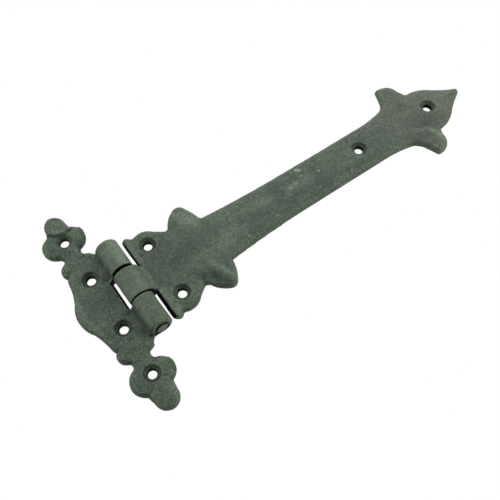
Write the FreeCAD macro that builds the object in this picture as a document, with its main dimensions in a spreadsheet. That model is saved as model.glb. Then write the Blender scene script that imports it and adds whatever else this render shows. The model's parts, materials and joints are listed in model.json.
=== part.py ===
import FreeCAD, Part
import os
from math import atan2, sqrt

import Sketcher

# T hinge in cast iron: a short frame leaf with a three-lobed finial at each end, a long strap
# leaf that ends in a fleur-de-lis, and one pin through their three knuckles.
# Millimetres. +X runs along the strap, +Y along the pin and +Z out of the face. The backs of
# both leaves lie on z = 0. The origin is midway between the frame plate's two screw holes.

doc = FreeCAD.newDocument("t_hinge")

# Two lengths closer than this are the same length.
CLOSE = 1e-4
UP = FreeCAD.Vector(0, 0, 1)

SIZES = {
    # Castings.
    "plate_thick": 3.5,
    # Barrel. Its underside is flush with the backs of the leaves.
    "pin_x": 12.65,
    "knuckle_radius": 5.1,
    "barrel_half": 22.4,
    "middle_half": 7.1,
    "slot_half": 7.7,
    "slot_edge": 6.2,
    "knuckle_cove": 2.5,
    "knuckle_shoulder": 7.0,
    "root_reach": 9.5,
    "bore_chamfer": 0.4,
    # Pin: pressed into the outer knuckles, free to turn in the middle one, its ends a little proud.
    "pin_radius": 2.6,
    "running_gap": 0.05,
    "pin_half": 23.0,
    "pin_round": 0.7,
    # Screw holes, countersunk from the face.
    "screw_bore": 3.9,
    "screw_sink": 7.3,
    "sink_angle": 90.0,
    "plate_screw_y": 13.4,
    "finial_screw_x": -0.5,
    "finial_screw_y": 36.1,
    "root_screw_x": 28.0,
    "root_screw_y": 13.7,
    "mid_screw_x": 135.4,
    "tip_screw_x": 178.9,
}

# Half outlines, walked clockwise from the hinge's centre line. Each corner has a name, x, y and
# the radius of the arc that arrives at it: 0 is straight, a positive arc bulges out of the
# metal's side and a negative one into it. A word stands for that size in the list above.
FRAME_OUTLINE = [
    ("spine", -13.4, 0, 0),
    ("belly", -10.8, 8.2, 14.0),
    ("shoulder", -8.3, 18.3, -34.0),
    ("shoulder_nick", -7.5, 20.2, 0),
    ("collar_left", -5.5, 27.1, 4.2),
    ("neck_left", -5.9, 30.4, -2.2),
    ("lobe_left", -6.4, 42.7, 6.6),
    ("crown_left", -5.5, 46.2, 0),
    ("crown_top", -0.5, 51.8, 5.4),
    ("crown_right", 4.6, 46.2, 5.4),
    ("lobe_right", 5.1, 42.3, 0),
    ("neck_right", 4.2, 30.4, 6.2),
    ("collar_right", 4.3, 26.8, -2.5),
    ("collar_end", 7.4, 24.3, 6.0),
    ("barrel_corner", 9.0, "barrel_half", 0),
    ("under_barrel", 9.0, 0, 0),
]
STRAP_OUTLINE = [
    ("root_edge", 19.7, 0, 0),
    ("ear", 19.7, 20.4, 0),
    ("ear_end", 23.6, 21.5, 2.15),
    ("ear_nick", 24.4, 21.0, 0),
    ("cheek", 34.0, 18.7, 7.8),
    ("cheek_end", 37.2, 16.5, 0),
    ("thorn_foot", 39.9, 16.7, -1.9),
    ("thorn_rise", 45.6, 22.7, 12.5),
    ("thorn_top", 50.5, 22.2, 3.4),
    ("thorn_back", 54.3, 12.6, 24.0),
    ("band_start", 55.0, 12.4, 0),
    ("band_narrow", 100.0, 10.5, -540.0),
    ("band_end", 143.0, 10.5, 0),
    ("flare", 157.5, 12.0, -71.0),
    ("petal_inside", 162.9, 16.5, -7.5),
    ("petal_corner", 165.1, 22.2, 0),
    ("petal_top", 166.3, 23.3, 1.1),
    ("petal_outside", 174.6, 16.3, 7.45),
    ("petal_nick", 176.3, 12.7, 0),
    ("leaf_side", 187.6, 8.6, 18.2),
    ("leaf_point", 198.4, 1.6, -54.0),
    ("tip", 199.4, 0, 1.8),
]


def make_sheet():
    """Spreadsheet of every driving size: one row per size, then one per outline corner."""
    sheet = doc.addObject("Spreadsheet::Sheet", "Sizes")
    row = 1

    def put(column, alias, value):
        sheet.set(f"{column}{row}", str(value))
        sheet.setAlias(f"{column}{row}", alias)

    for alias, value in SIZES.items():
        sheet.set(f"A{row}", alias)
        put("B", alias, value)
        row += 1
    for label, x, y, radius in FRAME_OUTLINE + STRAP_OUTLINE:
        sheet.set(f"A{row}", label)
        for column, suffix, value in (("B", "x", x), ("C", "y", y), ("D", "arc", abs(radius))):
            if value and not isinstance(value, str):
                put(column, f"{label}_{suffix}", value)
        row += 1
    doc.recompute()


def new_body(label):
    body = doc.addObject("PartDesign::Body", label)
    body.Label = label
    body.Placement = FreeCAD.Placement()
    return body


def origin_plane(body, role):
    return next(f for f in body.Origin.OriginFeatures if f.Role == role)


def new_sketch(body, name, role, lift=None):
    """A sketch on one of the body's origin planes, lifted off it by the size that lift names."""
    sketch = body.newObject("Sketcher::SketchObject", name)
    sketch.AttachmentSupport = [(origin_plane(body, role), "")]
    sketch.MapMode = "FlatFace"
    if lift:
        sketch.setExpression(".AttachmentOffset.Base.z", f"Sizes.{lift}")
    return sketch


def bind(sketch, constraint, name, expression):
    """Add a constraint with a value and tie that value to the sheet."""
    index = sketch.addConstraint(constraint)
    sketch.renameConstraint(index, name)
    sketch.setExpression(f".Constraints.{name}", expression)


def clockwise_arc(start, end, radius):
    """The arc from start to end, as a curve that runs anticlockwise, and its two end numbers.

    A positive radius bulges to the left of the walk, so its centre lies to the right of it.
    """
    chord = end - start
    reach = sqrt(radius * radius - chord.Length * chord.Length / 4)
    right = FreeCAD.Vector(chord.y, -chord.x, 0).normalize()
    side = 1 if radius > 0 else -1
    centre = (start + end) / 2 + right * (reach * side)
    circle = Part.Circle(centre, UP, abs(radius))
    angles = [atan2(p.y - centre.y, p.x - centre.x) for p in (start, end)]
    if side > 0:
        return Part.ArcOfCircle(circle, angles[1], angles[0]), (2, 1)
    return Part.ArcOfCircle(circle, angles[0], angles[1]), (1, 2)


def outline_sketch(body, name, corners):
    """Half outline of a leaf, closed along the hinge's centre line and tied to the sheet."""
    sketch = new_sketch(body, name, "XY_Plane")
    points = [FreeCAD.Vector(x, SIZES.get(y, y), 0) for _, x, y, _ in corners]
    count = len(corners)
    ends = []
    for i in range(count):
        start, end = points[i - 1], points[i]
        radius = corners[i][3]
        if radius:
            curve, numbers = clockwise_arc(start, end, radius)
        else:
            curve, numbers = Part.LineSegment(start, end), (1, 2)
        sketch.addGeometry(curve, False)
        ends.append(numbers)
    for i in range(count):
        label, _, y, radius = corners[i]
        after = (i + 1) % count
        here = (i, ends[i][1])
        sketch.addConstraint(Sketcher.Constraint("Coincident", *here, after, ends[after][0]))
        x_rule = Sketcher.Constraint("DistanceX", -1, 1, *here, points[i].x)
        bind(sketch, x_rule, f"{label}_x", f"Sizes.{label}_x")
        if points[i].y == 0:
            sketch.addConstraint(Sketcher.Constraint("PointOnObject", *here, -1))
        else:
            y_rule = Sketcher.Constraint("DistanceY", -1, 1, *here, points[i].y)
            alias = y if isinstance(y, str) else f"{label}_y"
            bind(sketch, y_rule, f"{label}_y", f"Sizes.{alias}")
        if radius:
            arc_rule = Sketcher.Constraint("Radius", i, abs(radius))
            bind(sketch, arc_rule, f"{label}_arc", f"Sizes.{label}_arc")
    return sketch


def plate(body, corners):
    """A leaf's plate: the half outline padded and mirrored."""
    pad = body.newObject("PartDesign::Pad", "HalfPlate")
    pad.Profile = outline_sketch(body, "Outline", corners)
    pad.setExpression("Length", "Sizes.plate_thick")
    mirror = body.newObject("PartDesign::Mirrored", "WholePlate")
    mirror.Originals = [pad]
    mirror.MirrorPlane = (origin_plane(body, "XZ_Plane"), [""])
    body.Tip = mirror
    doc.recompute()


def arc_round(centre, size, first, last):
    """The arc round a centre that runs anticlockwise from first to last."""
    angles = [atan2(p.y - centre.y, p.x - centre.x) for p in (first, last)]
    return Part.ArcOfCircle(Part.Circle(centre, UP, size), *angles)


def knuckle_sketch(body, side, drum, joining, joining_size, rules):
    """Cross-section of a knuckle and of the strip of plate it grows from.

    The drum starts on the leaf's back; the joining curve runs from it to the plate's face. The
    strip lies towards +X for side 1 and towards -X for side -1, and rules tie the curves' ends.
    """
    sketch = new_sketch(body, "KnuckleProfile", "XZ_Plane")
    thick = SIZES["plate_thick"]
    under = FreeCAD.Vector(SIZES["pin_x"], 0, 0)
    far_x = under.x + side * SIZES["root_reach"]
    far_low = FreeCAD.Vector(far_x, 0, 0)
    far_high = FreeCAD.Vector(far_x, thick, 0)
    back = Part.LineSegment(far_low, under)
    face = Part.LineSegment(joining.StartPoint, far_high)
    far_end = Part.LineSegment(far_high, far_low)
    sketch.addGeometry([back, drum, joining, face, far_end], False)
    shared_rules = [
        ("Coincident", 3, 2, 4, 1),
        ("Coincident", 4, 2, 0, 1),
        ("PointOnObject", 0, 1, -1),
        ("PointOnObject", 0, 2, -1),
        ("Horizontal", 3),
        ("Vertical", 4),
    ]
    for rule in rules + shared_rules:
        sketch.addConstraint(Sketcher.Constraint(*rule))
    axis_rule = Sketcher.Constraint("DistanceX", -1, 1, 1, 3, under.x)
    bind(sketch, axis_rule, "axis_x", "Sizes.pin_x")
    drum_rule = Sketcher.Constraint("Radius", 1, SIZES["knuckle_radius"])
    bind(sketch, drum_rule, "drum_arc", "Sizes.knuckle_radius")
    joining_rule = Sketcher.Constraint("Radius", 2, SIZES[joining_size])
    bind(sketch, joining_rule, "joining_arc", f"Sizes.{joining_size}")
    thick_rule = Sketcher.Constraint("DistanceY", -1, 1, 3, 1, thick)
    bind(sketch, thick_rule, "plate_top", "Sizes.plate_thick")
    sign = "+" if side > 0 else "-"
    far_rule = Sketcher.Constraint("DistanceX", -1, 1, 0, 1, far_x)
    bind(sketch, far_rule, "far_x", f"Sizes.pin_x {sign} Sizes.root_reach")
    return sketch


def frame_knuckle_sketch(body):
    """The frame leaf's knuckles: a drum that meets the plate in a cove."""
    radius, cove = SIZES["knuckle_radius"], SIZES["knuckle_cove"]
    thick = SIZES["plate_thick"]
    axis = FreeCAD.Vector(SIZES["pin_x"], radius, 0)
    rise = thick + cove - radius
    hollow = axis + FreeCAD.Vector(-sqrt((radius + cove) ** 2 - rise ** 2), rise, 0)
    under = FreeCAD.Vector(axis.x, 0, 0)
    foot = FreeCAD.Vector(hollow.x, thick, 0)
    touch = axis + (hollow - axis) * (radius / (radius + cove))
    drum = arc_round(axis, radius, under, touch)
    joining = arc_round(hollow, cove, foot, touch)
    rules = [("Tangent", 0, 2, 1, 1), ("Tangent", 1, 2, 2, 2), ("Tangent", 2, 1, 3, 1)]
    return knuckle_sketch(body, -1, drum, joining, "knuckle_cove", rules)


def strap_knuckle_sketch(body):
    """The strap leaf's knuckle: a drum whose top rolls down to the plate over a full shoulder."""
    radius, shoulder = SIZES["knuckle_radius"], SIZES["knuckle_shoulder"]
    thick = SIZES["plate_thick"]
    axis = FreeCAD.Vector(SIZES["pin_x"], radius, 0)
    under = FreeCAD.Vector(axis.x, 0, 0)
    top = FreeCAD.Vector(axis.x, 2 * radius, 0)
    centre = FreeCAD.Vector(axis.x, top.y - shoulder, 0)
    reach = sqrt(shoulder ** 2 - (thick - centre.y) ** 2)
    foot = FreeCAD.Vector(axis.x + reach, thick, 0)
    drum = arc_round(axis, radius, top, under)
    joining = arc_round(centre, shoulder, foot, top)
    rules = [
        ("Tangent", 0, 2, 1, 2),
        ("Tangent", 1, 1, 2, 2),
        ("Vertical", 1, 1, 1, 3),
        ("Coincident", 2, 1, 3, 1),
    ]
    return knuckle_sketch(body, 1, drum, joining, "knuckle_shoulder", rules)


def knuckle(body, profile, half_length):
    """The barrel section of a leaf, centred on the hinge's centre line."""
    pad = body.newObject("PartDesign::Pad", "Knuckle")
    pad.Profile = profile
    pad.Midplane = True
    pad.setExpression("Length", f"2 * Sizes.{half_length}")
    body.Tip = pad
    doc.recompute()


def pin_circle(body, name, radius_expression):
    """A circle round the pin's axis."""
    sketch = new_sketch(body, name, "XZ_Plane")
    centre = FreeCAD.Vector(SIZES["pin_x"], SIZES["knuckle_radius"], 0)
    sketch.addGeometry(Part.Circle(centre, UP, SIZES["pin_radius"]), False)
    x_rule = Sketcher.Constraint("DistanceX", -1, 1, 0, 3, centre.x)
    bind(sketch, x_rule, "axis_x", "Sizes.pin_x")
    y_rule = Sketcher.Constraint("DistanceY", -1, 1, 0, 3, centre.y)
    bind(sketch, y_rule, "axis_y", "Sizes.knuckle_radius")
    radius_rule = Sketcher.Constraint("Radius", 0, SIZES["pin_radius"])
    bind(sketch, radius_rule, "radius", radius_expression)
    return sketch


def bore(body, radius_expression):
    """The pin's bore, right through the barrel."""
    pocket = body.newObject("PartDesign::Pocket", "Bore")
    pocket.Profile = pin_circle(body, "BoreCircle", radius_expression)
    pocket.Midplane = True
    pocket.setExpression("Length", "3 * Sizes.barrel_half")
    body.Tip = pocket
    doc.recompute()


def slot(body):
    """The gap in the frame leaf's barrel that takes the strap's knuckle."""
    sketch = new_sketch(body, "SlotOutline", "XY_Plane")
    left, half = SIZES["slot_edge"], SIZES["slot_half"]
    right = SIZES["pin_x"] + 2 * SIZES["knuckle_radius"]
    corners = [(left, -half), (right, -half), (right, half), (left, half)]
    points = [FreeCAD.Vector(x, y, 0) for x, y in corners]
    for i in range(4):
        sketch.addGeometry(Part.LineSegment(points[i], points[(i + 1) % 4]), False)
    for i in range(4):
        sketch.addConstraint(Sketcher.Constraint("Coincident", i, 2, (i + 1) % 4, 1))
        sketch.addConstraint(Sketcher.Constraint("Horizontal" if i % 2 == 0 else "Vertical", i))
    left_rule = Sketcher.Constraint("DistanceX", -1, 1, 0, 1, left)
    bind(sketch, left_rule, "left", "Sizes.slot_edge")
    low_rule = Sketcher.Constraint("DistanceY", 0, 1, -1, 1, half)
    bind(sketch, low_rule, "low", "Sizes.slot_half")
    high_rule = Sketcher.Constraint("DistanceY", -1, 1, 2, 1, half)
    bind(sketch, high_rule, "high", "Sizes.slot_half")
    right_rule = Sketcher.Constraint("DistanceX", -1, 1, 1, 1, right)
    bind(sketch, right_rule, "right", "Sizes.pin_x + 2 * Sizes.knuckle_radius")
    pocket = body.newObject("PartDesign::Pocket", "Slot")
    pocket.Profile = sketch
    pocket.Reversed = True
    pocket.setExpression("Length", "3 * Sizes.knuckle_radius")
    body.Tip = pocket
    doc.recompute()


def signed_size(word):
    """The number and the expression that a size's name, with or without a minus, stands for."""
    if word.startswith("-"):
        return -SIZES[word[1:]], f"-Sizes.{word[1:]}"
    return SIZES[word], f"Sizes.{word}"


def screw_holes(body, places):
    """Countersunk screw holes; each place is the names of its x and y, and no name is 0."""
    sketch = new_sketch(body, "ScrewCentres", "XY_Plane", lift="plate_thick")
    bore_radius = SIZES["screw_bore"] / 2
    for i, place in enumerate(places):
        centre = FreeCAD.Vector(*(signed_size(word)[0] if word else 0 for word in place), 0)
        sketch.addGeometry(Part.Circle(centre, UP, bore_radius), False)
        bore_rule = Sketcher.Constraint("Radius", i, bore_radius)
        bind(sketch, bore_rule, f"bore_{i}", "Sizes.screw_bore / 2")
        for axis, axis_line, word in (("X", -2, place[0]), ("Y", -1, place[1])):
            if word:
                value, expression = signed_size(word)
                rule = Sketcher.Constraint(f"Distance{axis}", -1, 1, i, 3, value)
                bind(sketch, rule, f"{axis.lower()}_{i}", expression)
            else:
                sketch.addConstraint(Sketcher.Constraint("PointOnObject", i, 3, axis_line))
    doc.recompute()
    hole = body.newObject("PartDesign::Hole", "ScrewHoles")
    hole.Profile = sketch
    doc.recompute()
    hole.DepthType = "ThroughAll"
    hole.HoleCutType = "Countersink"
    hole.setExpression("Diameter", "Sizes.screw_bore")
    hole.setExpression("HoleCutDiameter", "Sizes.screw_sink")
    hole.setExpression("HoleCutCountersinkAngle", "Sizes.sink_angle")
    body.Tip = hole
    doc.recompute()


def bore_mouths(body):
    """Bevel the bore where it opens on the barrel's two ends."""
    solid = body.Tip
    chamfer = body.newObject("PartDesign::Chamfer", "BoreMouths")
    mouths = []
    for i, edge in enumerate(solid.Shape.Edges, 1):
        if not isinstance(edge.Curve, Part.Circle):
            continue
        is_bore = abs(edge.Curve.Radius - SIZES["pin_radius"]) < CLOSE
        if is_bore and abs(abs(edge.BoundBox.Center.y) - SIZES["barrel_half"]) < CLOSE:
            mouths.append(f"Edge{i}")
    chamfer.Base = (solid, mouths)
    chamfer.setExpression("Size", "Sizes.bore_chamfer")
    body.Tip = chamfer
    doc.recompute()


def make_hinge_pin():
    """Straight pin with rounded ends that stand a little proud of the barrel's ends."""
    body = new_body("hinge_pin")
    sketch = pin_circle(body, "PinCircle", "Sizes.pin_radius")
    shank = body.newObject("PartDesign::Pad", "Shank")
    shank.Profile = sketch
    shank.Midplane = True
    shank.setExpression("Length", "2 * Sizes.pin_half")
    body.Tip = shank
    doc.recompute()
    round_ends = body.newObject("PartDesign::Fillet", "RoundEnds")
    edges = enumerate(shank.Shape.Edges, 1)
    rims = [f"Edge{i}" for i, edge in edges if isinstance(edge.Curve, Part.Circle)]
    round_ends.Base = (shank, rims)
    round_ends.setExpression("Radius", "Sizes.pin_round")
    body.Tip = round_ends
    doc.recompute()
    return body


def make_frame_leaf():
    body = new_body("frame_leaf")
    plate(body, FRAME_OUTLINE)
    knuckle(body, frame_knuckle_sketch(body), "barrel_half")
    slot(body)
    bore(body, "Sizes.pin_radius")
    bore_mouths(body)
    screw_holes(
        body,
        [
            ("", "plate_screw_y"),
            ("", "-plate_screw_y"),
            ("finial_screw_x", "finial_screw_y"),
            ("finial_screw_x", "-finial_screw_y"),
        ],
    )
    return body


def make_strap_leaf():
    body = new_body("strap_leaf")
    plate(body, STRAP_OUTLINE)
    knuckle(body, strap_knuckle_sketch(body), "middle_half")
    bore(body, "Sizes.pin_radius + Sizes.running_gap")
    screw_holes(
        body,
        [
            ("root_screw_x", "root_screw_y"),
            ("root_screw_x", "-root_screw_y"),
            ("mid_screw_x", ""),
            ("tip_screw_x", ""),
        ],
    )
    return body


make_sheet()
made = [make_frame_leaf(), make_strap_leaf(), make_hinge_pin()]
doc.recompute()
for item in doc.Objects:
    if any(word in item.State for word in ("Invalid", "Error")):
        raise SystemExit(f"{item.Label} failed: {item.State}")
for body in made:
    if body.Shape.isNull() or not body.Shape.isValid() or len(body.Shape.Solids) != 1:
        raise SystemExit(f"{body.Label} is not one valid solid")
os.makedirs("parts", exist_ok=True)
for body in made:
    body.Shape.exportStep(f"parts/{body.Label}.step")
    print(body.Label, round(body.Shape.Volume), "mm3")
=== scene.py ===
import json
import math

import bmesh
import bpy
import numpy as np
from mathutils import Matrix, Vector, noise


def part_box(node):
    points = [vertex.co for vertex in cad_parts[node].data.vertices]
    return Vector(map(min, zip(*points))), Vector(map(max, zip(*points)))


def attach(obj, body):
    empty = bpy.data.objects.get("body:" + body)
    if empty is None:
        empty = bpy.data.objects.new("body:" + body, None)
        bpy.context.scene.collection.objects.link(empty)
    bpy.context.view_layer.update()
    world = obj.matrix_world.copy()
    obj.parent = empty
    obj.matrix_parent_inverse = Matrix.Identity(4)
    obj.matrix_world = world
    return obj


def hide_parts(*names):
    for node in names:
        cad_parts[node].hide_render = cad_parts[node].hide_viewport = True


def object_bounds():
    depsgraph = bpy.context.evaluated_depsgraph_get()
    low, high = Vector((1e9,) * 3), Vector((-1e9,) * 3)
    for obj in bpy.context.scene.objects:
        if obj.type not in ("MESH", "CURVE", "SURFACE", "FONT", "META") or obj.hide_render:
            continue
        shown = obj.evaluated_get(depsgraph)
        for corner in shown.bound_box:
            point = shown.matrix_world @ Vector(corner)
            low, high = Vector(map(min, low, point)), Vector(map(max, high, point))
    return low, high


# Cast iron T hinge. The two leaves are sand castings: each is remeshed from its CAD solid, and
# then its rims are rounded, its face swells and gets its modelled relief, and its skin turns
# rough. Shapes are worked in millimetres; the finished meshes are in metres, in the row frame.
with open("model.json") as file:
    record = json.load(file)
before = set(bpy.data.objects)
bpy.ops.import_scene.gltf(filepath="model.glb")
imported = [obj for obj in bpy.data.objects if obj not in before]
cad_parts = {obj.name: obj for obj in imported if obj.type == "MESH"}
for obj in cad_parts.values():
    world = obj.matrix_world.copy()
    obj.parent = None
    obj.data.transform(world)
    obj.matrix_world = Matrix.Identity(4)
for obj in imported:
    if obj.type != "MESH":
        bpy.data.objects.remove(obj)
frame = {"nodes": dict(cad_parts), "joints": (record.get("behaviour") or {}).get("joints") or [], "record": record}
cad_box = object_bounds()
MM = 0.001

JOINT = frame["joints"][0]
PIN_X, _, PIN_Z = (c / MM for c in JOINT["pos_m"])
MOUNTS = {m["name"]: m for m in frame["record"]["mounts"]}
SCREW_RADIUS = MOUNTS["frame_plate_screws"]["dims"]["hole_r_mm"]

# Places nearer to each other than this count as one, as when a point is said to lie on the back.
FLAT = 0.005


def cad_points(node):
    """A CAD node's vertices in millimetres."""
    return np.array([v.co for v in frame["nodes"][node].data.vertices]) / MM


# Ends of the knuckles along the pin, and where the strap leaf's plate starts beside its knuckle.
FRAME_POINTS = cad_points("frame_leaf")
BARREL = np.abs(FRAME_POINTS[FRAME_POINTS[:, 0] > PIN_X + 1.0, 1])
BARREL_END, SLOT_END = BARREL.max(), BARREL.min()
STRAP_POINTS = cad_points("strap_leaf")
KNUCKLE_END = STRAP_POINTS[STRAP_POINTS[:, 0] < PIN_X, 1].max()
ROOT_EDGE = STRAP_POINTS[STRAP_POINTS[:, 1] > SLOT_END, 0].min()
SLOT_SIDES = np.abs(np.abs(FRAME_POINTS[:, 1]) - SLOT_END) < FLAT
SLOT_EDGE = FRAME_POINTS[SLOT_SIDES & (FRAME_POINTS[:, 2] < FLAT), 0].min()
LOW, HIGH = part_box("hinge_pin")
PIN_HALF, PIN_RADIUS = HIGH.y / MM, (HIGH.z - LOW.z) / 2 / MM

# Edges of a leaf: how thick it is at its rim, how far the face's rounded edge reaches in and
# down, the same along the root beside the barrel, and how far inside the rim the face swells
# to its full thickness.
RIM_HEIGHT = 3.0
EDGE_IN, EDGE_DOWN = 1.7, 2.4
ROOT_IN, ROOT_DOWN = 0.7, 0.9
SWELL = 6.0
# The strap's knuckle lies a little towards -Y in its slot, as its play lets it. The wall of that
# slot and the strap's root wall stand out a little in the middle of their height.
KNUCKLE_SLIP = 0.3
WALL_NOSE = 0.5
# The casting is uneven: the barrel's lower end is a little long, both crowns lie a little towards
# -Y, their left sides lean, a nub stands out below the barrel and a lump fills the upper corner
# of the knuckle's slot.
LONG_END = 0.5
CROWN_LEAN, CROWN_SLIP = 0.75, 0.4
# Size of the remeshed quads.
FRAME_VOXEL, STRAP_VOXEL = 0.3, 0.36
# How far one round of smoothing pulls a point, and the rounds for the whole leaf, for the shoulder
# where the strap's knuckle meets its plate and for the barrel's end faces.
PULL = 0.5
ALL_ROUNDS, SHOULDER_ROUNDS, END_ROUNDS = 3, 40, 8
# Rounds that spread the measured hollowness, for small pits and for broad hollows.
PIT_ROUNDS, HOLLOW_ROUNDS = 6, 60
# Strength of the painted shade and grime in a ring at the countersinks' edges and on their cones, of the painted
# shade in the holes, and how much less of the first two the upper finial's screw has.
RING_SHADE_AND_DIRT, CONE_SHADE_AND_DIRT, HOLE_SHADE = 0.55, 0.25, 0.75
PALER_UPPER_SINK = 0.6

# Relief, given for the half with y above 0 and mirrored; the last number of each is how much
# of it the half with y below 0 has. Mounds: x, y, reach along x, reach along y, height.
FRAME_MOUNDS = {
    "crown": (-0.5, 46.4, 4.6, 4.4, 0.3, 1.0),
    "left_lobe": (-7.6, 36.6, 3.2, 4.2, 0.35, 1.0),
    "right_lobe": (6.0, 36.8, 2.8, 4.0, 0.35, 1.0),
    "neck": (-0.8, 28.8, 4.0, 1.8, -0.3, 1.0),
    "left_collar": (-6.4, 23.6, 2.2, 2.4, 0.3, 1.0),
    "right_collar": (4.6, 24.6, 2.2, 1.6, 0.25, 1.0),
}
STRAP_MOUNDS = {
    "ear": (21.6, 20.2, 1.7, 1.7, 0.3, 1.0),
    "cheek": (30.5, 17.6, 4.0, 2.0, 0.25, 1.0),
    "thorn_side": (42.8, 16.5, 2.8, 4.6, -0.5, 1.9),
    "notch": (38.6, 14.5, 1.6, 2.6, -0.15, 3.0),
    "body": (36.0, 0.0, 9.0, 6.0, -0.2, 1.0),
    "leaf": (178.0, 0.0, 8.0, 8.0, 0.45, 1.0),
    "leaf_base": (171.0, 7.0, 3.0, 3.0, -0.15, 2.0),
    "tip": (197.2, 0.0, 1.8, 1.6, 0.35, 1.0),
}
# Creases: points of the line, half width, depth at its first point and at its last one.
CROWN_LINE = [
    (-5.6, 43.6), (-4.0, 42.8), (-2.6, 41.2), (-1.0, 40.2),
    (0.5, 40.4), (1.6, 39.5), (2.6, 40.0), (4.8, 40.5),
]
FRAME_CREASES = {
    "crown": ([(x, y - 0.35) for x, y in CROWN_LINE], 0.55, 0.6, 0.35, 0.25),
    "neck_left": ([(-5.9, 30.4), (-2.8, 33.0)], 1.0, 0.45, 0.0, 1.0),
    "neck_right": ([(4.2, 30.4), (2.2, 32.6)], 0.9, 0.4, 0.0, 1.0),
    "shoulder": ([(-7.5, 20.2), (-4.6, 21.4)], 1.0, 0.4, 0.0, 1.0),
    "collar": ([(3.4, 25.2), (1.0, 24.8), (-0.6, 24.4)], 0.7, 0.35, 0.1, 0.3),
    "collar_side": ([(4.2, 26.8), (3.2, 24.6), (4.6, 21.6)], 0.9, 0.3, 0.1, 1.0),
    "barrel_foot": ([(6.4, 8.4), (6.4, 21.5)], 1.2, 0.12, 0.15, 1.0),
}
STRAP_CREASES = {
    "notch": ([(38.4, 15.6), (40.6, 11.0), (43.0, 6.5)], 1.9, 0.4, 0.1, 1.0),
    "band_hollow": ([(56.0, 0.0), (90.0, 0.0), (124.0, 0.0)], 3.4, 0.25, 0.15, 1.0),
    "petal": ([(175.4, 12.6), (171.6, 8.6), (165.5, 4.4)], 2.4, 0.35, 0.1, 0.7),
    "scratch": ([(23.2, 10.6), (24.6, 11.0)], 0.35, 0.4, 0.3, 0.0),
}
# Ridges: points of the crest, half width, height at its first point and at its last one.
STRAP_RIDGES = {
    "thorn": ([(44.0, 6.0), (46.4, 12.0), (48.8, 18.0), (50.0, 21.5)], 3.4, 0.2, 1.1, 1.3),
    "petal": ([(163.0, 7.0), (168.5, 10.6), (171.6, 14.6), (171.0, 20.0)], 3.0, 0.0, 0.8, 1.2),
    "petal_side": ([(158.0, 9.0), (163.0, 13.5), (165.5, 19.5)], 2.2, 0.0, 0.2, 1.0),
    "leaf": ([(184.0, 0.0), (198.6, 0.0)], 2.8, 0.1, 0.3, 1.0),
    "root_lip": ([(20.9, 0.0), (20.7, 6.4)], 0.7, 0.25, 0.2, 0.6),
}
# Steps: points of the line, how far the raised side reaches beyond it, and its height where y is
# above 0 and where it is below.
FRAME_STEPS = {"crown": (CROWN_LINE, 8.0, 0.6, 0.25)}
# Stains and painted shade that darken the finish: points of the line, half width and strength.
STRAP_STAINS_AND_SHADE = {
    # Painted shade: thorn_root, thorn_notch and leaf_foot darken the thorn's flank away from the light, its notch
    # and the leaf's foot; the rest are stains.
    "body": ([(27.0, 2.0), (34.0, 0.5), (43.0, 3.0)], 6.0, 0.55),
    "thorn_root": ([(36.5, -9.0), (40.5, -12.5), (42.5, -16.5), (45.4, -21.5)], 2.4, 0.8),
    "thorn_notch": ([(38.0, -17.2), (40.2, -16.8), (43.0, -20.0)], 1.5, 0.9),
    "cheek_foot": ([(24.5, -22.4), (31.0, -21.3), (35.5, -18.6)], 0.9, 0.75),
    "streak": ([(67.0, -0.5), (75.0, -2.2), (90.0, -3.4), (106.0, -2.8), (124.0, -5.0)], 1.7, 0.5),
    "leaf_foot": ([(165.0, -4.5), (171.5, -8.5), (173.5, -11.5)], 2.8, 0.3),
    "petals": ([(157.0, 6.0), (166.0, 6.0), (169.0, 16.0)], 5.0, 0.26),
    "fleur": ([(158.0, 0.0), (172.0, -1.0)], 6.0, 0.25),
    "leaf_side": ([(171.0, -4.0), (178.0, -8.0)], 3.0, 0.3),
    "petal": ([(160.0, -10.0), (164.5, -17.0)], 3.4, 0.35),
}
FRAME_STAINS_AND_SHADE = {
    # Painted shade: plate, plate_right, upper_side, barrel_cove and lower_cove darken the plate beside the barrel
    # and its coves, crown_shade the crown's step, and lobe_foot, right_lobe_foot, lower_lobe_foot, lower_lobe_side
    # and lower_collar_foot the feet of their walls; the rest are stains.
    "plate": ([(2.5, 4.0), (1.5, -6.0), (3.0, -16.0)], 4.5, 0.35),
    "lower_screw": ([(3.0, -16.0), (5.0, -20.5)], 2.6, 0.8),
    "barrel_cove": ([(7.3, 9.0), (7.3, 20.5)], 1.1, 1.0),
    "lower_cove": ([(7.3, -9.0), (7.3, -21.5)], 1.0, 0.8),
    "upper_side": ([(4.6, 6.0), (5.0, 20.0)], 2.6, 0.55),
    "lower_crown": ([(-1.5, -42.0), (-0.5, -48.0)], 3.2, 0.35),
    "plate_right": ([(4.5, 4.0), (4.5, -4.0)], 1.6, 0.35),
    "plate_mark": ([(-6.2, -9.0), (-3.0, -8.8), (-1.5, -7.6), (0.6, -6.6)], 0.5, 0.5),
    "upper_screw": ([(-4.5, 14.0), (2.0, 18.5)], 3.0, 0.35),
    "lower_collar": ([(-4.0, -23.5), (1.0, -24.5)], 1.8, 0.45),
    "crown_shade": ([(x, y - 0.9) for x, y in CROWN_LINE[1:6]], 0.8, 0.85),
    "lobe_foot": ([(-8.8, 31.2), (-5.4, 28.8)], 1.0, 0.95),
    "right_lobe_foot": ([(3.8, 28.7), (6.8, 29.7)], 0.9, 0.95),
    "lower_lobe_foot": ([(-8.0, -41.6), (-6.0, -43.3)], 1.0, 0.9),
    "lower_lobe_side": ([(2.5, -42.2), (5.0, -42.6)], 0.7, 0.5),
    "lower_collar_foot": ([(-7.0, -25.6), (-4.6, -27.4)], 0.8, 0.8),
}
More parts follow.
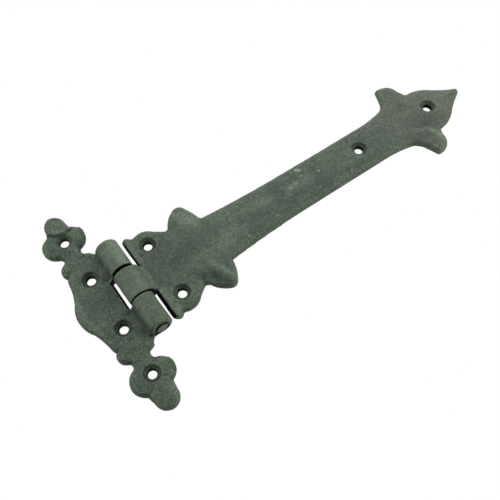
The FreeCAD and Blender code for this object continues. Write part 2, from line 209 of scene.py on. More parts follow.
# Painted highlights and places worn pale by handling: points of the line, half width and strength.
STRAP_HIGHLIGHTS_AND_WEAR = {
    # Painted highlights: thorn_crest, upper_thorn, upper_thorn_face, lip, petal_edge, knuckle and knuckle_right
    # are lit ridges, flanks and edges; the rest are places worn pale.
    "thorn_crest": ([(45.0, -10.0), (47.4, -15.0), (49.4, -21.5)], 1.3, 0.6),
    "upper_thorn": ([(46.5, 15.0), (48.0, 16.0)], 2.0, 0.8),
    "upper_thorn_face": ([(46.5, 19.5), (50.5, 12.5)], 3.6, 0.55),
    "root": ([(21.8, 9.0), (21.8, 19.0)], 1.6, 0.45),
    "lower_root": ([(22.0, -9.0), (22.4, -19.0)], 1.8, 0.5),
    "lip": ([(20.4, -4.5), (20.2, 5.5)], 0.5, 0.15),
    "band_root": ([(55.0, -5.0), (66.0, 0.0), (60.0, 8.0)], 6.0, 0.3),
    "band": ([(70.0, 3.5), (84.0, 3.0)], 3.0, 0.3),
    "band_middle": ([(95.0, 1.5), (106.0, 0.5)], 2.6, 0.3),
    "petal_edge": ([(171.0, -12.5), (172.4, -16.0), (170.0, -20.5)], 1.8, 0.85),
    "knuckle": ([(9.5, 5.0), (9.5, -5.0)], 3.0, 0.45),
    "knuckle_right": ([(15.5, 5.0), (15.5, -3.0)], 2.6, 0.4),
}
FRAME_HIGHLIGHTS_AND_WEAR = {
    # Painted highlights: upper_knuckle, upper_flank, lower_flank and crown are the lit sides of the barrel and the
    # crown's lit rim; the rest are places worn pale.
    "upper_knuckle": ([(15.5, 20.5), (14.5, 9.0)], 3.6, 0.6),
    "upper_flank": ([(10.0, 19.0), (9.5, 9.0)], 2.2, 0.4),
    "lower_flank": ([(9.6, -10.0), (9.6, -19.0)], 2.0, 0.25),
    "crown": ([(-3.4, 43.4), (-0.6, 41.6), (1.5, 40.8)], 0.8, 0.6),
    "lower_crown": ([(3.6, -44.0), (2.6, -50.0)], 1.4, 0.2),
    "neck": ([(0.8, 31.4), (2.2, 29.6)], 1.4, 0.4),
    "edge": ([(-9.4, 9.0), (-10.4, 0.0), (-9.4, -9.0)], 1.6, 0.35),
}
# Small chips that show pale: points of the line, half width and strength.
STRAP_CHIPS = {
    "edge": ([(103.8, 7.8), (105.0, 6.6)], 0.7, 0.8),
    "edge_foot": ([(103.2, 3.8), (104.0, 3.6)], 0.5, 0.5),
    "middle": ([(95.3, 1.4), (96.4, 1.0)], 0.6, 0.4),
    "second": ([(98.6, 2.2), (100.2, 1.4)], 0.6, 0.4),
    "dot": ([(111.9, 1.3), (112.3, 1.1)], 0.4, 1.0),
    "lower_edge": ([(66.4, -8.0), (66.6, -8.8)], 0.5, 0.4),
    "lower": ([(81.8, -6.8), (82.2, -7.2)], 0.5, 0.4),
    "lower_far": ([(106.5, -6.2), (107.6, -6.0)], 0.6, 0.25),
    "lower_end": ([(124.6, -7.6), (125.0, -7.2)], 0.5, 0.4),
}

# Skin of the castings: size of the lumps and how far they stand out.
SKIN = ((15.0, 0.13), (6.0, 0.09), (2.2, 0.06), (0.9, 0.035))


def smooth_step(value, low, high):
    """0 below low, 1 above high and a smooth rise between."""
    share = np.clip((value - low) / (high - low), 0.0, 1.0)
    return share * share * (3.0 - 2.0 * share)


def near(value, place, inner, outer):
    """1 within inner of a place, 0 beyond outer."""
    return 1.0 - smooth_step(np.abs(value - place), inner, outer)


def screw_centres():
    """Every screw hole's centre."""
    centres = []
    for mount in MOUNTS.values():
        if mount["kind"] == "bolt_pattern":
            x, y, _ = (c / MM for c in mount["pos_m"])
            reach_x = mount["dims"].get("spacing_x_mm", 0.0) / 2
            reach_y = mount["dims"].get("spacing_y_mm", 0.0) / 2
            centres += [(x - reach_x, y - reach_y), (x + reach_x, y + reach_y)]
    return np.array(centres)


# Radius of a countersink at the face, from the face's nearest vertex to one of the first mount's
# two screws.
FACE = FRAME_POINTS[(FRAME_POINTS[:, 0] < 0) & (FRAME_POINTS[:, 2] > RIM_HEIGHT)]
SINK_RADIUS = min(np.hypot(FACE[:, 0] - a, FACE[:, 1] - b).min() for a, b in screw_centres()[:2])


# ---- Meshes -------------------------------------------------------------------------------


def add_object(name, data):
    """A new object, linked into the scene."""
    made = bpy.data.objects.new(name, data)
    bpy.context.scene.collection.objects.link(made)
    return made


def cad_copy(node):
    """A CAD node's mesh in millimetres, as a bmesh with its doubled corners merged."""
    copy = bmesh.new()
    copy.from_mesh(frame["nodes"][node].data)
    bmesh.ops.scale(copy, vec=(1 / MM,) * 3, verts=copy.verts)
    bmesh.ops.remove_doubles(copy, verts=copy.verts, dist=FLAT)
    copy.normal_update()
    return copy


def back_rim(copy, centres):
    """The edges round a leaf's flat back, holes left out: starts, ends and inward normals."""
    # A list keeps the mesh's order, so that ties between edges fall the same way each run.
    back = [f for f in copy.faces if f.normal.z < -0.99 and abs(f.calc_center_median().z) < FLAT]
    starts, ends, inward = [], [], []
    for face in back:
        for loop in face.loops:
            if all(other in back for other in loop.edge.link_faces):
                continue
            start, end = loop.vert.co, loop.link_loop_next.vert.co
            middle = np.array(((start + end) / 2)[:2])
            if np.hypot(*(centres - middle).T).min() < 1.5 * SCREW_RADIUS:
                continue
            starts.append(start[:2])
            ends.append(end[:2])
            inward.append(face.normal.cross(end - start).normalized()[:2])
    return np.array(starts), np.array(ends), np.array(inward)


def remesh(name, copy, voxel):
    """An even quad mesh over the same solid."""
    mesh = bpy.data.meshes.new(name)
    copy.to_mesh(mesh)
    source = add_object(name, mesh)
    voxels = source.modifiers.new("Voxels", "REMESH")
    voxels.mode = "VOXEL"
    voxels.voxel_size = voxel
    graph = bpy.context.evaluated_depsgraph_get()
    fine = bpy.data.meshes.new_from_object(source.evaluated_get(graph))
    bpy.data.objects.remove(source)
    return fine


def points_of(mesh):
    points = np.empty(len(mesh.vertices) * 3)
    mesh.vertices.foreach_get("co", points)
    return points.reshape(-1, 3)


def set_points(mesh, points):
    mesh.vertices.foreach_set("co", points.ravel())
    mesh.update()


def normals_of(mesh):
    normals = np.empty(len(mesh.vertices) * 3, np.float32)
    mesh.vertex_normals.foreach_get("vector", normals)
    return normals.reshape(-1, 3).astype(float)


def edges_of(mesh):
    edges = np.empty(len(mesh.edges) * 2, np.int64)
    mesh.edges.foreach_get("vertices", edges)
    return edges.reshape(-1, 2)


def neighbour_mean(values, edges):
    """Each row's mean over the vertices joined to it by an edge."""
    count = len(values)
    ends = np.concatenate((edges[:, 0], edges[:, 1]))
    others = np.concatenate((edges[:, 1], edges[:, 0]))
    total = np.bincount(ends, minlength=count)
    columns = [np.bincount(ends, values[others, k], count) / total for k in range(values.shape[1])]
    return np.stack(columns, axis=1)


def smooth(points, edges, rounds, share):
    """Pull every point towards its neighbours; share is one number or a column of them."""
    for _ in range(rounds):
        points = points + share * (neighbour_mean(points, edges) - points)
    return points


def rim_distance(flat_points, rim):
    """Each point's distance to the nearest rim edge, and the unit vector from the rim inwards."""
    starts, ends, inward = rim
    along = ends - starts
    length_squared = (along ** 2).sum(axis=1)
    distance = np.empty(len(flat_points))
    direction = np.empty((len(flat_points), 2))
    block = 20000
    lean_in = 0.4
    for first in range(0, len(flat_points), block):
        p = flat_points[first : first + block, None, :]
        share = np.clip(((p - starts) * along).sum(axis=2) / length_squared, 0.0, 1.0)
        away = p - (starts + share[..., None] * along)
        reach = np.sqrt((away ** 2).sum(axis=2))
        best = reach.argmin(axis=1)
        rows = np.arange(len(best))
        distance[first : first + block] = reach[rows, best]
        turn = away[rows, best] + lean_in * inward[best]
        direction[first : first + block] = turn / np.hypot(*turn.T)[:, None]
    return distance, direction


def round_face_edge(points, distance, direction, reach_in, reach_down, top, share):
    """Turn the square edge between a plate's face and its side wall into a quarter ellipse."""
    out = np.clip((reach_in - distance) / reach_in, 0.0, 1.0)
    up = np.clip((points[:, 2] - (top - reach_down)) / reach_down, 0.0, 1.0)
    squeeze = np.maximum(out, up) / np.maximum(np.hypot(out, up), 1e-9)
    pull = np.where((out > 0) & (up > 0), 1.0 - squeeze, 0.0) * share
    points[:, :2] += direction * (pull * out * reach_in)[:, None]
    points[:, 2] -= pull * up * reach_down


def edge_reach(share):
    """How far an edge is rounded in and down: share 0 is the root's edge, 1 the open rim."""
    return ROOT_IN + (EDGE_IN - ROOT_IN) * share, ROOT_DOWN + (EDGE_DOWN - ROOT_DOWN) * share


def line_distance(x, y, path):
    """Distance to a path of points, and how far along it the nearest place is, from 0 to 1."""
    lengths = [math.dist(a, b) for a, b in zip(path, path[1:])]
    nearest = np.full(len(x), np.inf)
    place = np.zeros(len(x))
    walked = 0.0
    for (ax, ay), (bx, by), length in zip(path, path[1:], lengths):
        step = np.clip(((x - ax) * (bx - ax) + (y - ay) * (by - ay)) / length ** 2, 0.0, 1.0)
        reach = np.hypot(x - ax - step * (bx - ax), y - ay - step * (by - ay))
        closer = reach < nearest
        nearest = np.where(closer, reach, nearest)
        place = np.where(closer, (walked + step * length) / sum(lengths), place)
        walked += length
    return nearest, place


def relief(points, mounds, creases, ridges, steps):
    """Height of the modelled ornament at each point."""
    crest_round = 0.02
    step_foot, step_top = -0.2, 0.25
    x, y = points[:, 0], np.abs(points[:, 1])
    below = points[:, 1] < 0.0
    height = np.zeros(len(points))
    for mound_x, mound_y, reach_x, reach_y, rise, other in mounds.values():
        hump = np.exp(-(((x - mound_x) / reach_x) ** 2) - ((y - mound_y) / reach_y) ** 2)
        height += rise * hump * np.where(below, other, 1.0)
    for path, width, first, last, other in creases.values():
        reach, place = line_distance(x, y, path)
        depth = (first + (last - first) * place) * np.exp(-((reach / width) ** 2))
        height -= depth * np.where(below, other, 1.0)
    for path, width, first, last, other in ridges.values():
        reach, place = line_distance(x, y, path)
        tent = np.sqrt((reach / width) ** 2 + crest_round)
        rise = (first + (last - first) * place) * np.clip(1.0 - tent, 0.0, None) ** 1.5
        height += rise * np.where(below, other, 1.0)
    for path, fade, rise, other_rise in steps.values():
        beyond = y - np.interp(x, *zip(*path))
        raised = smooth_step(beyond, step_foot, step_top) * np.exp(-((beyond / fade) ** 2))
        height += raised * np.where(below, other_rise, rise)
    return height


def painted(x, y, strokes):
    """How strongly soft strokes along lines mark each point, from 0 to 1."""
    share = np.zeros(len(x))
    for path, width, strength in strokes.values():
        reach, _ = line_distance(x, y, path)
        share = np.maximum(share, strength * np.exp(-((reach / width) ** 2)))
    return share


def roughen(mesh, scale):
    """Push the skin in and out by layered noise; scale is one number a point."""
    points, normals = points_of(mesh), normals_of(mesh)
    push = np.zeros(len(points))
    for size, depth in SKIN:
        push += depth * np.array([noise.noise(Vector(p / size)) for p in points])
    set_points(mesh, points + normals * (push * scale)[:, None])


def store(mesh, name, values):
    """Keep one number a vertex for the material to read."""
    attribute = mesh.attributes.new(name, "FLOAT", "POINT")
    attribute.data.foreach_set("value", values.astype(np.float32))


def hollowness(mesh, edges, rounds):
    """How hollow (above 0) or proud (below 0) the surface is around each vertex."""
    points, normals = points_of(mesh), normals_of(mesh)
    lift = ((neighbour_mean(points, edges) - points) * normals).sum(axis=1)[:, None]
    return smooth(lift, edges, rounds, 0.7)[:, 0]


def finish_piece(name, mesh, body, node, material):
    """Store a mesh in metres as a piece that stands for a CAD node."""
    mesh.transform(Matrix.Scale(MM, 4))
    mesh.shade_smooth()
    mesh.materials.clear()
    mesh.materials.append(material)
    piece = add_object(name, mesh)
    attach(piece, body)
    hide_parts(node)
    return piece


def shaped(points, edges, rim, form, shapes, top):
    """A leaf's points moved to the casting's form, each one's distance inside the rim, and its
    level, from 0 on the back to 1 on the face."""
    x, y, height = points.T.copy()
    distance, direction = rim_distance(points[:, :2], rim)
    share = form.face_share(x, y)
    open_rim = form.open_rim(x, y)
    round_face_edge(points, distance, direction, *edge_reach(open_rim), top, share)
    level = np.clip(points[:, 2] / top, 0.0, 1.0)
    drop = (top - RIM_HEIGHT) * (1.0 - smooth_step(distance, 0.0, SWELL)) * open_rim
    points[:, 2] -= drop * level * share
    on_barrel = smooth_step(points[:, 2], top + 0.4, top + 1.6)
    points[:, 2] += relief(points, *shapes) * level ** 2 * (1.0 - on_barrel)
    mid_wall = smooth_step(height, 0.4, 1.8) * (1.0 - smooth_step(height, 2.6, 3.6))
    points[:, 0] += form.nose(x, y) * mid_wall
    points[:, 0] += form.lean(x, y)
    points[:, 1] -= form.slip(x, y)
    points = smooth(points, edges, ALL_ROUNDS, PULL)
    points = smooth(points, edges, SHOULDER_ROUNDS, PULL * form.at_shoulder(x, y, height)[:, None])
    points = smooth(points, edges, END_ROUNDS, PULL * form.at_end(x, y)[:, None])
    return points, distance, level


def skin_share(points):
    """How rough the skin is: not at all in the pin's bore, and less on the flat back."""
    from_pin = np.hypot(points[:, 0] - PIN_X, points[:, 2] - PIN_Z)
    in_bore = 1.0 - smooth_step(from_pin, 3.0, 4.0)
    on_back = 1.0 - smooth_step(points[:, 2], 0.1, 0.6)
    return (1.0 - in_bore) * (1.0 - 0.6 * on_back)


def screw_shade_and_dirt(x, y, height):
    """Painted shade and grime round the countersinks' edges and on their cones, and painted shade, near black, in
    the screw holes. The flat back has it only in the holes."""
    from_screw = np.min([np.hypot(x - a, y - b) for a, b in screw_centres()], axis=0)
    above_back = smooth_step(height, 0.3, 1.0)
    in_sink = RING_SHADE_AND_DIRT * near(from_screw, SINK_RADIUS - 0.2, 0.25, 0.5)
    in_sink += CONE_SHADE_AND_DIRT * (1.0 - smooth_step(from_screw, SINK_RADIUS - 0.6, SINK_RADIUS - 0.3))
    in_sink *= above_back
    in_sink *= 1.0 - PALER_UPPER_SINK * smooth_step(y, 33.0, 34.0)
    in_hole = 1.0 - smooth_step(from_screw, SCREW_RADIUS, SCREW_RADIUS + 0.15 + 0.45 * above_back)
    return in_sink + HOLE_SHADE * in_hole


def cast_leaf(node, body, voxel, form, shapes, marks, material):
    """One leaf as a sand casting: form says where its edge work and its painted shade in the gaps go, shapes is
    its relief and marks its painted strokes."""
    copy = cad_copy(node)
    rim = back_rim(copy, screw_centres())
    far_end = max((v.co for v in copy.verts), key=lambda co: abs(co.x - PIN_X)).x
    top = max(v.co.z for v in copy.verts if abs(v.co.x - far_end) < 1.0)
    mesh = remesh(node + "_cast", copy, voxel)
    copy.free()
    edges = edges_of(mesh)
    x, y, height = points_of(mesh).T
    points, distance, level = shaped(points_of(mesh), edges, rim, form, shapes, top)
    set_points(mesh, points)
    roughen(mesh, skin_share(points))
    facing = smooth_step(np.abs(normals_of(mesh)[:, 1]), 0.4, 0.7)
    # Painted shade: the gaps beside the knuckles, the slot and the root are painted dark where they fall into
    # shade.
    gap_shade = form.gap_shade(x, y, height, facing)
    # Painted sheen: the face is marked paler towards its rounded rim.
    store(mesh, "rim", (1.0 - smooth_step(distance, 0.3, 3.5)) * level * form.face_share(x, y))
    # Painted shade in the gaps and holes, with grime in the countersinks' rings.
    store(mesh, "shade_and_dirt", np.maximum(screw_shade_and_dirt(x, y, height), gap_shade))
    outward = smooth_step(points[:, 2], 0.5, 2.5)
    for mark, strokes in marks.items():
        store(mesh, mark, painted(x, y, strokes) * outward)
    store(mesh, "warm", form.warmth(x, y))
    store(mesh, "polish", form.polish(x))
    off_shoulder = 1.0 - form.at_shoulder(x, y, height)
    store(mesh, "hollow", hollowness(mesh, edges, PIT_ROUNDS) * off_shoulder)
    store(mesh, "broad_hollow", hollowness(mesh, edges, HOLLOW_ROUNDS) * off_shoulder)
    return finish_piece(node + "_cast", mesh, body, node, material)


# ---- Pieces -------------------------------------------------------------------------------


class FrameForm:
    """How the edge work, the smoothing and the painted shade in the gaps are spread over the frame leaf."""

    @staticmethod
    def face_share(x, y):
        return 1.0 - smooth_step(x, 7.6, 8.8)

    @staticmethod
    def open_rim(x, y):
        """0 round the slot of the strap's knuckle, 1 elsewhere."""
        at_slot = near(np.abs(y), 0.0, SLOT_END, SLOT_END + 1.5)
        return 1.0 - at_slot * near(x, SLOT_EDGE, 4.0, 8.0)

    @staticmethod
    def nose(x, y):
        return WALL_NOSE * near(x, SLOT_EDGE, 0.3, 1.5) * near(np.abs(y), 0.0, SLOT_END - 0.6, SLOT_END)

    @staticmethod
    def slip(x, y):
        barrel = LONG_END * smooth_step(-y, SLOT_END + 6.0, BARREL_END) * smooth_step(x, 7.5, 9.5)
        slot_corner = 0.6 * near(y, SLOT_END, 0.4, 1.6) * near(x, SLOT_EDGE + 0.5, 1.0, 1.5)
        return barrel + slot_corner + CROWN_SLIP * smooth_step(np.abs(y), 41.0, 50.0)

    @staticmethod
    def lean(x, y):
        crown = np.where(y > 0.0, 1.0, -0.4) * smooth_step(np.abs(y), 40.5, 44.0)
        nub = near(y, -26.0, 0.3, 1.1) * smooth_step(x, 3.0, 5.5)
        return CROWN_LEAN * (crown * smooth_step(-x, -1.0, 4.0) + nub)

    @staticmethod
    def at_shoulder(x, y, height):
        return np.zeros(len(x))

    @staticmethod
    def at_end(x, y):
        return near(np.abs(y), BARREL_END, 0.3, 1.2) * smooth_step(x, 7.0, 8.5)

    # Painted shade: the slot's wall and inner ends, the mouth round the pin and the foot of the barrel's end faces
    # are painted dark.
    @staticmethod
    def gap_shade(x, y, height, facing):
        inner_end = facing * near(np.abs(y), SLOT_END, 0.1, 0.4) * (x > SLOT_EDGE)
        slot_wall = near(x, SLOT_EDGE, 0.3, 0.7) * (np.abs(y) < SLOT_END) * (x > SLOT_EDGE - 0.7)
        from_pin = np.hypot(x - PIN_X, height - PIN_Z)
        mouth = near(from_pin, PIN_RADIUS, 0.15, 0.5) * (np.abs(y) > BARREL_END - 1.0)
        end_foot = near(np.abs(y), BARREL_END, 0.2, 0.5) * (1.0 - smooth_step(height, 2.5, 5.0))
        return np.maximum.reduce([inner_end, slot_wall, mouth, end_foot * (x > PIN_X - 6.0)])

    @staticmethod
    def warmth(x, y):
        return 0.15 * smooth_step(np.abs(y), 38.0, 50.0)

    @staticmethod
    def polish(x):
        """How smooth the barrel's skin is worn."""
        return smooth_step(x, 7.5, 9.5)


class StrapForm:
    """How the edge work, the smoothing and the painted shade in the gaps are spread over the strap leaf."""

    @staticmethod
    def face_share(x, y):
        beside = smooth_step(np.abs(y), KNUCKLE_END, KNUCKLE_END + 1.5)
        beyond = smooth_step(x, ROOT_EDGE + 1.0, ROOT_EDGE + 3.0)
        return np.maximum(beside, beyond) * (x > ROOT_EDGE - 0.5)

    @staticmethod
    def open_rim(x, y):
        """0 along the root's edge beside the barrel, 1 elsewhere."""
        return smooth_step(x, ROOT_EDGE + 0.5, ROOT_EDGE + 4.0)

    @staticmethod
    def nose(x, y):
        beside = smooth_step(np.abs(y), KNUCKLE_END, KNUCKLE_END + 1.5)
        return -WALL_NOSE * near(x, ROOT_EDGE, 0.3, 1.5) * beside * np.where(y < 0.0, 1.6, 0.5)

    @staticmethod
    def slip(x, y):
        return KNUCKLE_SLIP * (1.0 - smooth_step(x, PIN_X + 3.0, ROOT_EDGE + 1.0))

    @staticmethod
    def lean(x, y):
        return 0.0

    @staticmethod
    def at_shoulder(x, y, height):
        across = near(np.abs(y), 0.0, KNUCKLE_END - 1.6, KNUCKLE_END - 0.4)
        return near(x, ROOT_EDGE, 1.2, 2.6) * across * smooth_step(height, 1.5, 2.8)

    @staticmethod
    def at_end(x, y):
        return np.zeros(len(x))

    # Painted shade: the knuckle's end faces, the root's wall, the corner beside the knuckle and the knuckle's
    # underside are painted dark.
    @staticmethod
    def gap_shade(x, y, height, facing):
        ends = facing * near(np.abs(y), KNUCKLE_END, 0.15, 0.4) * (x < ROOT_EDGE)
        reach = np.where(y < 0.0, 0.5, 0.2)
        root_wall = near(x, ROOT_EDGE, reach, reach + 0.5) * (np.abs(y) > KNUCKLE_END)
        corner = near(x, ROOT_EDGE - 0.3, 0.8, 1.2) * near(np.abs(y), KNUCKLE_END + 0.4, 0.6, 1.0)
        corner *= 1.0 - smooth_step(height, 3.6, 4.4)
        under = 0.6 * (1.0 - smooth_step(height, 4.6, 6.6)) * (1.0 - smooth_step(x, PIN_X - 3.5, PIN_X))
        return np.maximum.reduce([ends, root_wall, corner, under])

    @staticmethod
    def warmth(x, y):
        return 0.6 * smooth_step(x, 118.0, 168.0) + 0.4 * smooth_step(x, 178.0, 194.0)

    @staticmethod
    def polish(x):
        """How smooth the knuckle's skin is worn."""
        return 1.0 - smooth_step(x, 17.0, 21.0)


def frame_leaf():
    """Short leaf: shield-shaped plate, a three-lobed finial at each end and two outer knuckles."""
    shapes = (FRAME_MOUNDS, FRAME_CREASES, {}, FRAME_STEPS)
    marks = {"stain_and_shade": FRAME_STAINS_AND_SHADE, "highlight_and_wear": FRAME_HIGHLIGHTS_AND_WEAR, "chips": {}}
    cast_leaf("frame_leaf", "frame", FRAME_VOXEL, FrameForm, shapes, marks, FRAME_IRON)


def strap_leaf():
    """Long leaf: eared root with two thorns, a band and a fleur-de-lis, and the middle knuckle."""
    shapes = (STRAP_MOUNDS, STRAP_CREASES, STRAP_RIDGES, {})
    marks = {"stain_and_shade": STRAP_STAINS_AND_SHADE, "highlight_and_wear": STRAP_HIGHLIGHTS_AND_WEAR, "chips": STRAP_CHIPS}
    cast_leaf("strap_leaf", "strap", STRAP_VOXEL, StrapForm, shapes, marks, STRAP_IRON)


def hinge_pin():
    """Pin turned from bar, with a rounded corner and a low dome at each end."""
    slack = 0.05
    radius = PIN_RADIUS - slack
    corner = 0.4
    dome = 0.1
    around = 64
    profile = [(0.0, PIN_HALF + dome)]
    for i in range(1, 5):
        share = i / 5
        reach = (radius - corner) * share
        profile.append((reach, PIN_HALF + dome * (1.0 - share ** 2)))
    for i in range(7):
        turn = math.radians(90 - 15 * i)
        across = radius - corner + corner * math.cos(turn)
        profile.append((across, PIN_HALF - corner + corner * math.sin(turn)))
    upper_end = list(profile)
    steps = 40
    reach = PIN_HALF - corner
    profile += [(radius, reach * (1 - 2 * i / steps)) for i in range(1, steps)]
    profile += [(r, -y) for r, y in reversed(upper_end)]
    turned = bmesh.new()
    rings = []
    for r, y in profile:
        y -= LONG_END * (y < 0.0)
        if r == 0.0:
            rings.append([turned.verts.new((PIN_X, y, PIN_Z))] * around)
            continue
        ring = []
        for k in range(around):
            turn = math.tau * k / around
            place = Vector((PIN_X + r * math.cos(turn), y, PIN_Z + r * math.sin(turn)))
            lump = 0.03 * noise.noise(place / 1.3)
            ring.append(turned.verts.new(place + Vector((math.cos(turn), 0, math.sin(turn))) * lump))
        rings.append(ring)
    for inner, outer in zip(rings, rings[1:]):
        for k in range(around):
            after = (k + 1) % around
            corners = [inner[k], inner[after], outer[after], outer[k]]
            turned.faces.new(list(dict.fromkeys(corners)))
    bmesh.ops.recalc_face_normals(turned, faces=turned.faces)
    mesh = bpy.data.meshes.new("hinge_pin_turned")
    turned.to_mesh(mesh)
    turned.free()
    # Painted shade: the pin's side is dark where it sits in the bore and in the gap at the barrel's mouth.
    from_axis = np.hypot(*(points_of(mesh) - (PIN_X, 0.0, PIN_Z))[:, ::2].T)
    store(mesh, "shade_and_dirt", 0.75 * smooth_step(from_axis, radius - 0.25, radius - 0.1))
    finish_piece("hinge_pin_turned", mesh, "frame", "hinge_pin", PIN_IRON)


# ---- Materials ----------------------------------------------------------------------------


def colour(red, green, blue):
    """A linear colour from the usual 0 to 255 screen values."""
    linear = [((c / 255 + 0.055) / 1.055) ** 2.4 if c > 10 else c / 255 / 12.92 for c in (red, green, blue)]
    return (*linear, 1.0)


class Shader:
    """Builds a material's nodes: a socket given as an input is linked, anything else is set."""

    def __init__(self, name):
        self.material = bpy.data.materials.new(name)
        self.material.use_nodes = True
        self.tree = self.material.node_tree
        self.tree.nodes.clear()

    def add(self, kind, inputs=None, **settings):
        made = self.tree.nodes.new(kind)
        for key, value in settings.items():
            setattr(made, key, value)
        for key, value in (inputs or {}).items():
            if isinstance(value, bpy.types.NodeSocket):
                self.tree.links.new(value, made.inputs[key])
            else:
                made.inputs[key].default_value = value
        return made

    def place(self):
        return self.add("ShaderNodeTexCoord").outputs["Object"]

    def stretch(self, place, x, y, z):
        """The place with each axis in features of that many millimetres."""
        sizes = Vector((1 / (x * MM), 1 / (y * MM), 1 / (z * MM)))
        return self.add("ShaderNodeMapping", {"Vector": place, "Scale": sizes}).outputs[0]

    def noise(self, place, size, detail=2.0, roughness=0.5):
        inputs = {"Vector": place, "Scale": 1 / (size * MM), "Detail": detail, "Roughness": roughness}
        return self.add("ShaderNodeTexNoise", inputs).outputs["Fac"]

    def attribute(self, name):
        return self.add("ShaderNodeAttribute", attribute_name=name).outputs["Fac"]

    def ramp(self, value, low, high, to_low=0.0, to_high=1.0):
        inputs = {0: value, 1: low, 2: high, 3: to_low, 4: to_high}
        made = self.add("ShaderNodeMapRange", inputs, interpolation_type="SMOOTHSTEP")
        return made.outputs[0]

    def maths(self, operation, first, second):
        return self.add("ShaderNodeMath", {0: first, 1: second}, operation=operation).outputs[0]

    def mix(self, share, first, second, blend="MIX"):
        made = self.add("ShaderNodeMix", {0: share, 6: first, 7: second}, data_type="RGBA", blend_type=blend)
        return made.outputs[2]

    def bump(self, height, depth, normal=None):
        """Bump of that many millimetres for a height from 0 to 1."""
        inputs = {"Height": height, "Distance": depth * MM, "Strength": 1.0}
        if normal:
            inputs["Normal"] = normal
        return self.add("ShaderNodeBump", inputs).outputs[0]

    def finish(self, base, roughness, specular, normal):
        inputs = {
            "Base Color": base,
            "Roughness": roughness,
            "Specular IOR Level": specular,
            "Normal": normal,
        }
        surface = self.add("ShaderNodeBsdfPrincipled", inputs)
        self.add("ShaderNodeOutputMaterial", {"Surface": surface.outputs[0]})
        return self.material


def iron(name, cool_tone, body_tone, pale_and_sheen_tone, grit):
    """Sand-cast iron under a thin grey-green finish, paler where it is proud, with painted shade and grime in
    hollows, gaps and holes, painted highlights and places worn pale, and a painted sheen along its rims.
    """
    shader = Shader(name)
    place = shader.place()
    clouds = shader.noise(place, 14.0, detail=5.0, roughness=0.6)
    streaks = shader.noise(shader.stretch(place, 20.0, 3.5, 6.0), 1 / MM, detail=5.0, roughness=0.65)
    blotches = shader.noise(place, 2.2, detail=5.0, roughness=0.75)
    grain = shader.noise(place, 0.75, detail=4.0, roughness=0.75)
    specks = shader.noise(place, 1.1, detail=2.0, roughness=0.6)
    base = shader.mix(shader.ramp(clouds, 0.38, 0.62), cool_tone, body_tone)
    base = shader.mix(shader.ramp(streaks, 0.5, 0.72, 0.0, 0.55), base, cool_tone)
    base = shader.mix(shader.ramp(blotches, 0.5, 0.72, 0.0, 0.5), base, pale_and_sheen_tone)
    tanned = shader.maths("MULTIPLY", shader.attribute("warm"), shader.ramp(blotches, 0.3, 0.6, 0.3, 0.8))
    base = shader.mix(tanned, base, TAN)
    # Painted sheen: the face goes paler towards its rim.
    rim = shader.maths("MULTIPLY", shader.attribute("rim"), shader.ramp(blotches, 0.45, 0.65, 0.0, 0.45))
    base = shader.mix(rim, base, pale_and_sheen_tone)
    # Painted highlights and places worn pale go paler.
    highlight_and_rub = shader.maths("MULTIPLY", shader.attribute("highlight_and_wear"), shader.ramp(blotches, 0.3, 0.6, 0.45, 1.0))
    base = shader.mix(highlight_and_rub, base, HIGHLIGHT_AND_RUB_TONE)
    proud = shader.ramp(shader.attribute("hollow"), -0.002, -0.012)
    base = shader.mix(shader.maths("MULTIPLY", proud, 0.4), base, pale_and_sheen_tone)
    # Stains, and painted shade on flanks, in notches, in coves and at the feet of walls.
    stain_and_shade = shader.maths("MULTIPLY", shader.attribute("stain_and_shade"), shader.ramp(streaks, 0.3, 0.65, 0.35, 1.0))
    base = shader.mix(stain_and_shade, base, STAIN_AND_SHADE_TONE)
    # Painted shade and grime: darker in broad hollows such as the coves at the barrel's foot.
    sunk = shader.ramp(shader.attribute("broad_hollow"), 0.001, 0.006)
    base = shader.mix(shader.maths("MULTIPLY", sunk, 0.35), base, HOLLOW_SHADE_AND_DIRT)
    # Painted shade and grime: darker in small pits and creases.
    pits = shader.ramp(shader.attribute("hollow"), 0.001, 0.01, 0.0, 0.6)
    base = shader.mix(pits, base, HOLLOW_SHADE_AND_DIRT)
    # Painted shade and grime: the gaps, the holes and the pin's side go near black.
    base = shader.mix(shader.attribute("shade_and_dirt"), base, BLACK)
    shade = shader.ramp(grain, 0.28, 0.72, 1.0 - grit, 1.0 + 1.1 * grit)
    rough_skin = shader.ramp(shader.attribute("polish"), 0.0, 1.0, 1.0, 0.55)
    base = shader.mix(rough_skin, base, shade, blend="MULTIPLY")
    base = shader.mix(shader.ramp(specks, 0.7, 0.78, 0.0, 0.45), base, PALE)
    base = shader.mix(shader.attribute("chips"), base, PALE)
    roughness = shader.ramp(blotches, 0.3, 0.7, 0.62, 0.48)
    normal = shader.bump(grain, 0.2)
    normal = shader.bump(shader.noise(place, 1.6, detail=4.0), 0.2, normal)
    specular = shader.ramp(shader.attribute("shade_and_dirt"), 0.2, 1.0, 0.3, 0.05)
    return shader.finish(base, roughness, specular, normal)


# Painted shade: the near black of the gaps and holes.
BLACK = colour(6, 9, 6)
STAIN_AND_SHADE_TONE = colour(52, 64, 58)
TAN = colour(99, 103, 92)
HIGHLIGHT_AND_RUB_TONE = colour(118, 132, 112)
HOLLOW_SHADE_AND_DIRT = colour(16, 26, 18)
PALE = colour(150, 162, 138)
FRAME_IRON = iron("frame_iron_patina", colour(64, 78, 68), colour(78, 93, 76), colour(94, 108, 82), 0.66)
STRAP_IRON = iron("strap_iron_patina", colour(64, 78, 68), colour(79, 93, 77), colour(94, 107, 84), 0.56)
PIN_IRON = iron("pin_iron_patina", colour(86, 94, 75), colour(98, 104, 82), colour(120, 122, 96), 0.6)

frame_leaf()
strap_leaf()
hinge_pin()


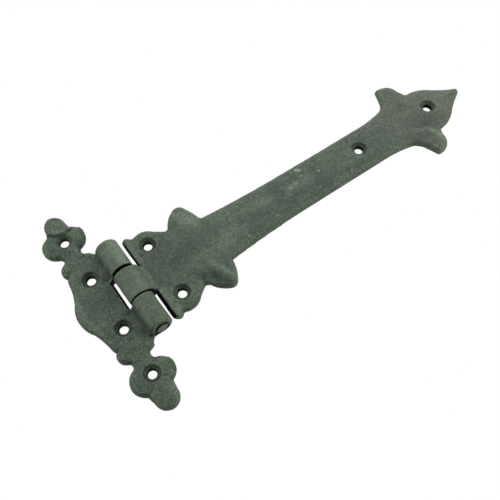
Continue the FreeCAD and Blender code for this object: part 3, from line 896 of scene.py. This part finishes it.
# ---- Floor, light and camera --------------------------------------------------------------


def floor():
    """Pale floor below the strap's lowest swing, plain white to the camera."""
    strap_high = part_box("strap_leaf")[1]
    clearance = 0.02
    depth = strap_high.x - PIN_X * MM + clearance
    half = 3.0
    mesh = bpy.data.meshes.new("floor")
    corners = [(-half, -half, -depth), (half, -half, -depth), (half, half, -depth), (-half, half, -depth)]
    mesh.from_pydata(corners, [], [(0, 1, 2, 3)])
    sheet = add_object("floor", mesh)
    shader = Shader("floor_white")
    matt = shader.add("ShaderNodeBsdfDiffuse", {"Color": (0.8, 0.8, 0.8, 1.0)}).outputs[0]
    bright = shader.add("ShaderNodeEmission", {"Color": (1.0, 1.0, 1.0, 1.0), "Strength": 1.0}).outputs[0]
    seen = shader.add("ShaderNodeLightPath").outputs["Is Camera Ray"]
    from_above = shader.add("ShaderNodeMixShader", {0: seen, 1: matt, 2: bright}).outputs[0]
    clear = shader.add("ShaderNodeBsdfTransparent").outputs[0]
    under = shader.add("ShaderNodeNewGeometry").outputs["Backfacing"]
    both = shader.add("ShaderNodeMixShader", {0: under, 1: from_above, 2: clear}).outputs[0]
    shader.add("ShaderNodeOutputMaterial", {"Surface": both})
    mesh.materials.append(shader.material)


def sky(strength):
    """Even white light all round, and a white background for the camera."""
    world = bpy.data.worlds.new("studio")
    world.use_nodes = True
    bpy.context.scene.world = world
    tree = world.node_tree
    background = tree.nodes["Background"]
    background.inputs["Color"].default_value = (1.0, 1.0, 1.0, 1.0)
    path = tree.nodes.new("ShaderNodeLightPath")
    choose = tree.nodes.new("ShaderNodeMapRange")
    choose.inputs["To Min"].default_value = strength
    choose.inputs["To Max"].default_value = 1.0
    tree.links.new(path.outputs["Is Camera Ray"], choose.inputs["Value"])
    tree.links.new(choose.outputs[0], background.inputs["Strength"])


def softbox(name, azimuth, elevation, power):
    """Square lamp facing the hinge, its azimuth counted from +X towards +Y."""
    side, reach = 0.4, 0.6
    lamp = bpy.data.lights.new(name, "AREA")
    lamp.shape = "SQUARE"
    lamp.size = side
    lamp.energy = power
    holder = add_object(name, lamp)
    turn, rise = math.radians(azimuth), math.radians(elevation)
    away = Vector((math.cos(turn) * math.cos(rise), math.sin(turn) * math.cos(rise), math.sin(rise)))
    holder.location = CENTRE + away * reach
    holder.rotation_mode = "QUATERNION"
    holder.rotation_quaternion = away.to_track_quat("Z", "Y")


def camera():
    """Camera above the strap's near side, looking down at the hinge."""
    azimuth, elevation = math.radians(-35.8), math.radians(61.1)
    distance = 0.2862
    aim_back, aim_aside = 0.0296, 0.0126
    aim = Vector((CENTRE.x - aim_back, CENTRE.y - aim_aside, 0.0))
    level = math.cos(elevation)
    forward = Vector((-math.sin(azimuth) * level, math.cos(azimuth) * level, -math.sin(elevation)))
    lens = bpy.data.cameras.new("camera")
    lens.sensor_width = 36.0
    lens.lens = 47.5
    lens.clip_start = 0.01
    holder = add_object("camera", lens)
    holder.location = aim - forward * distance
    holder.rotation_mode = "QUATERNION"
    holder.rotation_quaternion = forward.to_track_quat("-Z", "Y")
    bpy.context.scene.camera = holder


CENTRE = (cad_box[0] + cad_box[1]) / 2
floor()
sky(0.225)
softbox("back", 100.0, 50.0, 1.72)
softbox("right_back", 45.0, 20.0, 1.65)
softbox("right_front", -45.0, 20.0, 2.6)
softbox("left", 160.0, 20.0, 1.18)
camera()
bpy.context.scene.view_settings.view_transform = "Standard"
